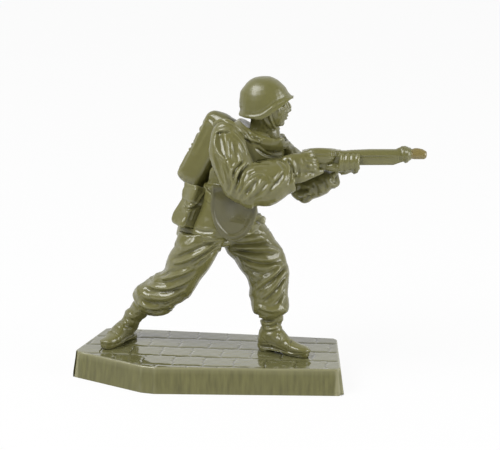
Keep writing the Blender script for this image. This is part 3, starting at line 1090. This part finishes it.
around_body(backpack, pack_middle, [
    (0.14, 0.4, 40.1, 208, 40.3, 195, 40.3, 180, 40.2, 160, 39.6, 135, 38.6, 105, 38, 80),
    (-0.22, 0.26, 39.5, 208, 39.7, 195, 39.7, 180, 39.6, 160, 38.9, 135, 37.9, 105, 37.3, 80),
    (-0.16, 0.34, 37.4, 120, 35.2, 124, 33, 118, 31.6, 112),
    (0.12, 0.4, 36.6, 104, 34.4, 108, 32.2, 104),
    (-0.1, 0.34, 33.2, 214, 32.2, 206, 31.4, 196),
    (-0.14, 0.34, 33.4, 140, 32.4, 150, 31.6, 160, 31.2, 170),
    (-0.12, 0.4, 36.8, 150, 35, 154, 33.4, 150),
])
for across in (2.9, 6.3):
    backpack.press([on_back(across, high) for high in (40.6, 39, 37, 35, 33, 31.8)], 0.34, 0.1, 0.1, 0.7)
    for high in (35.2, 36):
        backpack.press([on_back(across + shift, high) for shift in (-0.45, 0, 0.45)], 0.18, 0.16, 0.1, 0.5)
backpack.write()
backpack.outline([190, 186, 185.4, 183, 181.5, 180, 178.6, 176.5, 177.4, 173.6, 178.2, 169.6, 185, 156,
                  193, 141, 200.4, 127, 205, 117.6, 208, 113.2, 212.5, 110.8, 217.5, 110.8, 226.2, 113.4,
                  232, 116.5])
backpack.finish("back_bag", olive_plastic)


# Haversack: the shape of a small canvas bag on the hip, its flap held down by a strap tongue.
# It is a moulding of olive polystyrene, glued to the jacket's skirt by a square key.
haversack = Casting("haversack", 0.1, 8)
haversack.folds([
    (0.16, 0.2, 186.4, 183.6, 195.5, 186, 204.5, 189.2, 200.8, 196.3, 196.7, 202.7, 187.8, 206.6,
     184.6, 201.5, 182.6, 196),
    (-0.2, 0.2, 206, 192, 202.3, 199, 198.2, 205, 188, 209.5, 183, 204.5),
    (-0.1, 0.4, 179, 209, 183, 214.5, 188, 217.8),
    (0.12, 0.2, 196.5, 207, 193.5, 214, 191, 221, 189.6, 228),
])
haversack.outline([186, 229, 180, 227.6, 176.6, 225, 173, 222.8, 171.6, 219.6, 173, 213, 177.2, 206,
                   181.6, 198.5, 182, 192.5, 183.5, 187, 187, 181])
haversack.finish("hip_bag", olive_plastic, 3, 12)


# Spade cover: the shape of a stiff U-shaped cover hung from the belt, hollowed inside its raised
# rim. It is a moulding of darker olive polystyrene, glued to the jacket's hip by a square key.
spade_cover = Casting("spade_cover", 0.09, 5)
spade_cover.folds([
    (0.16, 0.24, 209.6, 197, 211.2, 206, 215.5, 220.5, 221.5, 230, 230, 236.4, 241, 233.5, 248, 225,
     252.4, 213.5),
    (0.22, 1.2, 218, 192, 220.5, 206, 225.5, 222),
    (-0.4, 1.4, 240, 192, 241, 206, 237, 223),
])
cover_plastic = plastic("cover plastic", (0.078, 0.072, 0.027), (0.118, 0.11, 0.042),
                        (0.045, 0.041, 0.012), (0.23, 0.22, 0.12), gloss=0.22, haze=0.14)
spade_cover.finish("spade_case", cover_plastic, 3, 10)


# Studio: a table of white board under a white sky, a wide key lamp high on the left in front and
# a tall one on the right, both soft, as for a catalogue picture.
def soft_lamp(name, place, size, power):
    """An oval lamp that points at the toy; its place and size are in mm."""
    data = bpy.data.lights.new(name, "AREA")
    data.shape = "ELLIPSE"
    data.size, data.size_y = size[0] * MM, size[1] * MM
    data.energy = power
    lamp = bpy.data.objects.new(name, data)
    bpy.context.scene.collection.objects.link(lamp)
    lamp.location = Vector(place) * MM
    lamp.rotation_euler = (aim - lamp.location).to_track_quat("-Z", "Y").to_euler()


def ray_kinds(tree):
    """Masks of what the camera sees straight, and of what it sees in a shine or through plastic."""
    rays = add(tree, "LightPath").outputs
    shine = compute(tree, "ADD", rays["Is Glossy Ray"], rays["Is Transmission Ray"], use_clamp=True)
    return rays["Is Camera Ray"], shine


def blend(tree, share, first, second, end):
    """Shows the second shader over the first by its share, at the tree's end."""
    mixed = add(tree, "MixShader", {0: share, 1: first.outputs[0], 2: second.outputs[0]})
    feed(tree, tree.nodes[end], {"Surface": mixed.outputs[0]})


soft_lamp("key lamp", (-262, -170, 357), (330, 290), 2.0)
soft_lamp("side lamp", (380, -135, 130), (240, 320), 1.2)

sky = bpy.data.worlds.new("sky")
bpy.context.scene.world = sky
sky.use_nodes = True
tree = sky.node_tree
white = (1, 1, 1, 1)
plain_sky = tree.nodes["Background"]
feed(tree, plain_sky, {"Color": white, "Strength": 0.25})
place = add(tree, "TexCoord").outputs["Generated"]
depth = add(tree, "SeparateXYZ", {0: place}).outputs["Y"]
behind = add(tree, "MapRange", {"Value": depth, "From Min": -0.35, "From Max": 0.7,
                                "To Min": 0.18, "To Max": 1.0},
             interpolation_type="SMOOTHSTEP").outputs["Result"]
straight, shine = ray_kinds(tree)
white_sky = add(tree, "Background", {"Color": white, "Strength": compute(tree, "MAXIMUM", straight, behind)})
blend(tree, compute(tree, "ADD", straight, shine, use_clamp=True), plain_sky, white_sky, "World Output")

table = bpy.data.meshes.new("table")
table.from_pydata([(-3, -3, 0), (3, -3, 0), (3, 3, 0), (-3, 3, 0)], [], [(0, 1, 2, 3)])
floor = bpy.data.objects.new("table", table)
bpy.context.scene.collection.objects.link(floor)
board = bpy.data.materials.new("white board")
board.use_nodes = True
tree = board.node_tree
shader = tree.nodes["Principled BSDF"]
feed(tree, shader, {"Base Color": (0.9, 0.9, 0.9, 1), "Roughness": 0.7})
straight, shine = ray_kinds(tree)
glow_share = compute(tree, "MULTIPLY_ADD", straight, 0.93, compute(tree, "MULTIPLY", shine, 0.35))
blend(tree, glow_share, shader, add(tree, "Emission"), "Material Output")
table.materials.append(board)
bpy.context.scene.view_settings.view_transform = "Standard"
